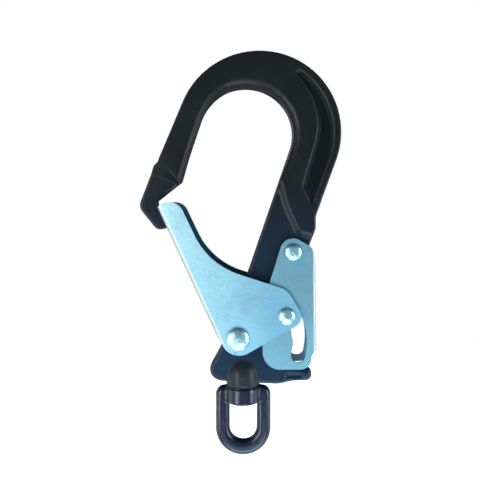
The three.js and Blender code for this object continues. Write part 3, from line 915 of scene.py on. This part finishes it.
class Nodes:
    """A short way to write a material's nodes."""

    def __init__(self, name):
        self.material = bpy.data.materials.new(name)
        self.material.use_nodes = True
        self.tree = self.material.node_tree
        self.shader = self.tree.nodes["Principled BSDF"]
        self.place = self.add("ShaderNodeTexCoord").outputs["Object"]

    def add(self, kind, **settings):
        node = self.tree.nodes.new(kind)
        for key, value in settings.items():
            setattr(node, key, value)
        return node

    def link(self, a, b):
        self.tree.links.new(a, b)

    def scaled(self, x, y, z):
        node = self.add("ShaderNodeMapping")
        node.inputs["Scale"].default_value = (x, y, z)
        self.link(self.place, node.inputs["Vector"])
        return node.outputs["Vector"]

    def noise(self, scale, detail=3.0, rough=0.5, at=None, distortion=0.0):
        node = self.add("ShaderNodeTexNoise")
        node.inputs["Scale"].default_value = scale
        node.inputs["Detail"].default_value = detail
        node.inputs["Roughness"].default_value = rough
        node.inputs["Distortion"].default_value = distortion
        self.link(at or self.place, node.inputs["Vector"])
        return node.outputs["Fac"]

    def cells(self, scale):
        """A colour of its own for each small cell."""
        node = self.add("ShaderNodeTexVoronoi")
        node.inputs["Scale"].default_value = scale
        self.link(self.place, node.inputs["Vector"])
        return node.outputs["Color"]

    def spread(self, value, low, high, to_low=0.0, to_high=1.0):
        node = self.add("ShaderNodeMapRange")
        node.inputs["From Min"].default_value = low
        node.inputs["From Max"].default_value = high
        node.inputs["To Min"].default_value = to_low
        node.inputs["To Max"].default_value = to_high
        self.link(value, node.inputs["Value"])
        return node.outputs["Result"]

    def mix(self, amount, a, b):
        node = self.add("ShaderNodeMix", data_type="RGBA")
        for key, value in ((6, a), (7, b)):
            if isinstance(value, tuple):
                node.inputs[key].default_value = (*value, 1)
            else:
                self.link(value, node.inputs[key])
        self.link(amount, node.inputs[0])
        return node.outputs[2]

    def maths(self, operation, a, b):
        node = self.add("ShaderNodeMath", operation=operation)
        for key, value in ((0, a), (1, b)):
            if isinstance(value, float):
                node.inputs[key].default_value = value
            else:
                self.link(value, node.inputs[key])
        return node.outputs[0]

    def attribute(self, name):
        return self.add("ShaderNodeAttribute", attribute_name=name).outputs["Fac"]

    def coordinate(self, axis):
        node = self.add("ShaderNodeSeparateXYZ")
        self.link(self.place, node.inputs[0])
        return node.outputs[axis]

    def bump(self, value, strength, distance, before=None):
        node = self.add("ShaderNodeBump")
        node.inputs["Strength"].default_value = strength
        node.inputs["Distance"].default_value = distance
        self.link(value, node.inputs["Height"])
        if before is not None:
            self.link(before, node.inputs["Normal"])
        return node.outputs["Normal"]

    def finish(self, colour, roughness, normal, **constants):
        self.link(colour, self.shader.inputs["Base Color"])
        self.link(roughness, self.shader.inputs["Roughness"])
        self.link(normal, self.shader.inputs["Normal"])
        for key, value in constants.items():
            self.shader.inputs[key.replace("_", " ")].default_value = value
        return self.material


def shade(colour, factor):
    return tuple(factor * c for c in colour)


def forged_black(name, upper, lower, rough, specular):
    """Black anodised or blackened forging: satin, slightly mottled, paler along its edges as rubbed wear
    and painted highlight, bluer down the hook as painted bluish light, with reflections dulled as painted
    shade on sideways walls.
    """
    m = Nodes(name)
    # Painted bluish light: the colour turns bluer down the hook.
    down = m.spread(m.coordinate("Z"), *BLUE_LIGHT_FADE)
    base = m.mix(down, upper, lower)
    base = m.mix(m.attribute("turned"), base, TURNED_BLACK)
    cloud = m.spread(m.noise(28, 4, 0.6), 0.3, 0.75)
    base = m.mix(m.maths("MULTIPLY", cloud, 0.35), base, shade(upper, 1.9))
    # Paler along convex edges in broken patches: partly rubbed wear, partly a painted highlight on the
    # edges.
    edge = m.spread(m.attribute("edge"), 0.35, 0.95)
    broken = m.spread(m.noise(240, 5, 0.65), 0.36, 0.62)
    wear_and_sheen = m.maths("MULTIPLY", edge, broken)
    base = m.mix(m.maths("MULTIPLY", wear_and_sheen, 0.3), base, RUBBED_AND_LIT_BLACK)
    scratch = m.spread(m.noise(90, 6, 0.75, m.scaled(9, 9, 0.9), 1.4), 0.62, 0.68)
    base = m.mix(m.maths("MULTIPLY", scratch, 0.18), base, SCRATCHED_BLACK)
    roughness = m.spread(m.noise(60, 5, 0.6), 0.3, 0.7, rough - 0.07, rough + 0.08)
    roughness = m.maths("SUBTRACT", roughness, m.maths("MULTIPLY", wear_and_sheen, 0.08))
    grain = m.bump(m.noise(1500, 3, 0.6), 0.35, 0.00006)
    dents = m.bump(m.noise(110, 3, 0.5), 0.3, 0.00025, grain)
    # Reflections dulled, as painted shade on sideways walls, and in the pocket and on the nose's facet
    # partly as a rough as-forged face, partly as painted shade.
    dulled_by_shade_and_forging = m.maths("MAXIMUM", m.attribute("wall"), m.attribute("forged_and_shaded"))
    m.link(m.spread(dulled_by_shade_and_forging, 0, 1, specular, specular * 0.15), m.shader.inputs["Specular IOR Level"])
    return m.finish(base, roughness, dents)


def zinc(name, bright, dull, shaded, rim, left, right):
    """Blue-passivated zinc on rolled sheet: fine grain, faint spangle, with painted light brighter to the
    left and duller to the right, painted shade inside, and a painted reflection and painted shade on its
    bends.
    """
    m = Nodes(name)
    # Painted light: brighter to the left, duller to the right.
    along = m.spread(m.coordinate("X"), left, right)
    colour = m.mix(along, bright, dull)
    cloud = m.spread(m.noise(22, 4, 0.55), 0.3, 0.72)
    colour = m.mix(m.maths("MULTIPLY", cloud, 0.25), colour, shade(dull, 0.85))
    spangle = m.spread(m.cells(520), 0.0, 1.0)
    colour = m.mix(m.maths("MULTIPLY", spangle, 0.16), colour, shade(dull, 0.72))
    speck = m.spread(m.noise(1000, 3, 0.7), 0.42, 0.68)
    colour = m.mix(m.maths("MULTIPLY", speck, 0.3), colour, shade(dull, 0.6))
    # Painted reflection: the bends turn neutral grey, like the white light they reflect.
    colour = m.mix(m.maths("MULTIPLY", m.attribute("fold"), 0.8), colour, FOLD_REFLECTION_GREY)
    # Painted shade along the bends' sideways band, dark on the gate; on the lever it is the bends' painted
    # reflection grey.
    colour = m.mix(m.attribute("rim"), colour, rim)
    # Painted shade on the channel's hidden inner faces.
    colour = m.mix(m.attribute("inner"), colour, shaded)
    roughness = m.spread(m.noise(70, 4, 0.6), 0.3, 0.7, ZINC_ROUGHNESS - 0.06, ZINC_ROUGHNESS + 0.08)
    roughness = m.maths("ADD", roughness, m.maths("MULTIPLY", m.attribute("inner"), 0.2))
    brushed = m.noise(500, 3, 0.6, m.scaled(1.0, 1.0, 0.12))
    grain = m.bump(brushed, 0.22, 0.00004)
    waves = m.bump(m.noise(45, 2, 0.5), 0.25, 0.0003, grain)
    return m.finish(colour, roughness, waves, Metallic=1.0)


def steel(name, bright, dull, rough, dents):
    """Bright steel, a little cloudy, with shallow dents where it was struck."""
    m = Nodes(name)
    cloud = m.spread(m.noise(160, 4, 0.6), 0.3, 0.7)
    colour = m.mix(cloud, dull, bright)
    roughness = m.spread(m.noise(300, 4, 0.6), 0.3, 0.7, rough - 0.05, rough + 0.08)
    grain = m.bump(m.noise(2200, 2, 0.6), 0.2, 0.00003)
    hammered = m.bump(m.noise(260, 2, 0.4, distortion=0.6), dents, 0.0006, grain)
    return m.finish(colour, roughness, hammered, Metallic=1.0)


materials = {
    # The lower colours' blue is painted bluish light; the eye lies wholly in the lower part.
    "black_anodised": forged_black(
        "anodised_forging", upper=(0.0042, 0.005, 0.0052), lower=(0.0003, 0.019, 0.050),
        rough=0.36, specular=0.25,
    ),
    "black_steel": forged_black(
        "blackened_eye", upper=(0.002, 0.006, 0.016), lower=(0.002, 0.009, 0.025),
        rough=0.21, specular=0.5,
    ),
    # Gate zinc: bright is its painted-lit left, rim its painted shade along the bends, shaded its painted
    # shade inside.
    "zinc_sheet": zinc(
        "zinc_gate", bright=(0.64, 0.89, 0.92), dull=(0.26, 0.50, 0.63), shaded=(0.06, 0.16, 0.23),
        rim=(0.27, 0.27, 0.24), left=-0.052, right=0.02,
    ),
    "rivet_steel": steel("rivet_zinc", (0.56, 0.84, 0.90), (0.30, 0.54, 0.60), rough=0.3, dents=0.75),
    "spring_steel": steel("spring_wire", (0.42, 0.43, 0.45), (0.3, 0.31, 0.33), rough=0.32, dents=0.1),
    "bearing_steel": steel("bearing", (0.62, 0.64, 0.66), (0.5, 0.51, 0.53), rough=0.16, dents=0.05),
}
# The lever's zinc is a darker copy of the gate's, as painted shade where the painted light falls off to the
# right.
shaded_lever_zinc = zinc(
    "zinc_lever", bright=(0.235, 0.44, 0.53), dull=(0.225, 0.42, 0.50), shaded=(0.18, 0.34, 0.41),
    rim=FOLD_REFLECTION_GREY, left=0.01, right=0.05,
)
for obj in list(bpy.context.scene.objects):
    if obj.type == "MESH" and "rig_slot" in obj:
        obj.data.materials.clear()
        obj.data.materials.append(shaded_lever_zinc if obj is lever else materials[obj["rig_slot"]])
        for polygon in obj.data.polygons:
            polygon.material_index = 0


# ---- Stage, lights and camera ----
# What the metal reflects: a dim front, bright sides, a dark top and back. The camera itself sees white.
DIM_FRONT = (0.34, 0.42, 0.46)
BRIGHT_SIDES = (1.0, 1.0, 1.0)
DARK_TOP = (0.12, 0.15, 0.17)
DARK_BACK = (0.06, 0.07, 0.08)
SIDE_BAND, TOP_BAND, BACK_BAND = (0.55, 0.92), (0.25, 0.8), (0.0, 0.5)


class World:
    """The nodes of a studio whose colour depends on the direction."""

    def __init__(self, name):
        self.world = bpy.data.worlds.new(name)
        self.world.use_nodes = True
        self.tree = self.world.node_tree
        place = self.tree.nodes.new("ShaderNodeTexCoord")
        direction = self.tree.nodes.new("ShaderNodeSeparateXYZ")
        self.tree.links.new(place.outputs["Generated"], direction.inputs[0])
        self.direction = direction.outputs

    def mixed(self, amount, under, colour):
        node = self.tree.nodes.new("ShaderNodeMix")
        node.data_type = "RGBA"
        self.tree.links.new(amount, node.inputs[0])
        if isinstance(under, tuple):
            node.inputs[6].default_value = (*under, 1)
        else:
            self.tree.links.new(under, node.inputs[6])
        node.inputs[7].default_value = (*colour, 1)
        return node.outputs[2]

    def band(self, value, limits, under, colour):
        """Mixes a colour over what is under it, where the value runs between the limits."""
        node = self.tree.nodes.new("ShaderNodeMapRange")
        node.interpolation_type = "SMOOTHSTEP"
        node.inputs["From Min"].default_value, node.inputs["From Max"].default_value = limits
        self.tree.links.new(value, node.inputs["Value"])
        return self.mixed(node.outputs["Result"], under, colour)

    def size_of(self, value):
        node = self.tree.nodes.new("ShaderNodeMath")
        node.operation = "ABSOLUTE"
        self.tree.links.new(value, node.inputs[0])
        return node.outputs[0]


studio = World("studio")
sky = studio.band(studio.size_of(studio.direction["X"]), SIDE_BAND, DIM_FRONT, BRIGHT_SIDES)
sky = studio.band(studio.direction["Z"], TOP_BAND, sky, DARK_TOP)
sky = studio.band(studio.direction["Y"], BACK_BAND, sky, DARK_BACK)
seen = studio.tree.nodes.new("ShaderNodeLightPath").outputs["Is Camera Ray"]
sky = studio.mixed(seen, sky, (1, 1, 1))
studio.tree.links.new(sky, studio.tree.nodes["Background"].inputs["Color"])
bpy.context.scene.world = studio.world
bpy.context.scene.view_settings.view_transform = "Standard"

FLOOR = {"half_width": 1000, "front": -100, "back": 900, "z": -420}
floor = mesh_object(
    "floor",
    [
        (side * FLOOR["half_width"], y, FLOOR["z"])
        for side, y in ((-1, FLOOR["front"]), (1, FLOOR["front"]), (1, FLOOR["back"]), (-1, FLOOR["back"]))
    ],
    [(0, 1, 2, 3)],
)
paper = Nodes("pale_floor")
floor.data.materials.append(
    paper.finish(
        paper.mix(paper.noise(3, 2), (0.93, 0.93, 0.93), (0.96, 0.96, 0.96)),
        paper.spread(paper.noise(40), 0, 1, 0.8, 0.95),
        paper.bump(paper.noise(400), 0.05, 0.0001),
        Emission_Color=(1, 1, 1, 1),
        Emission_Strength=1.0,
    )
)


MIDDLE = Vector((0, 0, -0.11))


def area_light(name, at, size, power, colour):
    """A soft light that faces the middle of the hook."""
    light = bpy.data.lights.new(name, "AREA")
    light.shape = "RECTANGLE"
    light.size, light.size_y = size
    light.energy = power
    light.color = colour
    obj = bpy.data.objects.new(name, light)
    obj.location = at
    obj.rotation_euler = (MIDDLE - Vector(at)).to_track_quat("-Z", "Y").to_euler()
    obj.visible_camera = False
    bpy.context.scene.collection.objects.link(obj)


area_light("key_left", (-0.95, -1.13, -0.35), (0.6, 1.1), 11.0, (0.88, 0.98, 1.0))
area_light("key_low", (0.1, -0.95, -1.25), (1.1, 0.9), 15.0, (0.70, 0.95, 1.10))
area_light("key_right", (1.3, -0.70, -0.2), (0.4, 1.1), 10.0, (0.80, 0.95, 1.08))
area_light("back_left", (-0.9, 1.0, 0.1), (0.7, 1.0), 9.0, (0.9, 0.97, 1.0))
area_light("back_right", (0.9, 1.0, -0.1), (0.7, 1.0), 9.0, (0.9, 0.97, 1.0))

lens = bpy.data.cameras.new("camera")
lens.sensor_width = 36
lens.lens = 37.838
lens.shift_x, lens.shift_y = -0.055625, -0.072917
lens.clip_start = 0.01
camera = bpy.data.objects.new("camera", lens)
pan, tilt = math.radians(-0.031), math.radians(-0.089)
camera.location = (0.01509, -0.3279, -0.0747)
camera.rotation_euler = (math.pi / 2 + tilt, 0, pan)
bpy.context.scene.collection.objects.link(camera)
bpy.context.scene.camera = camera
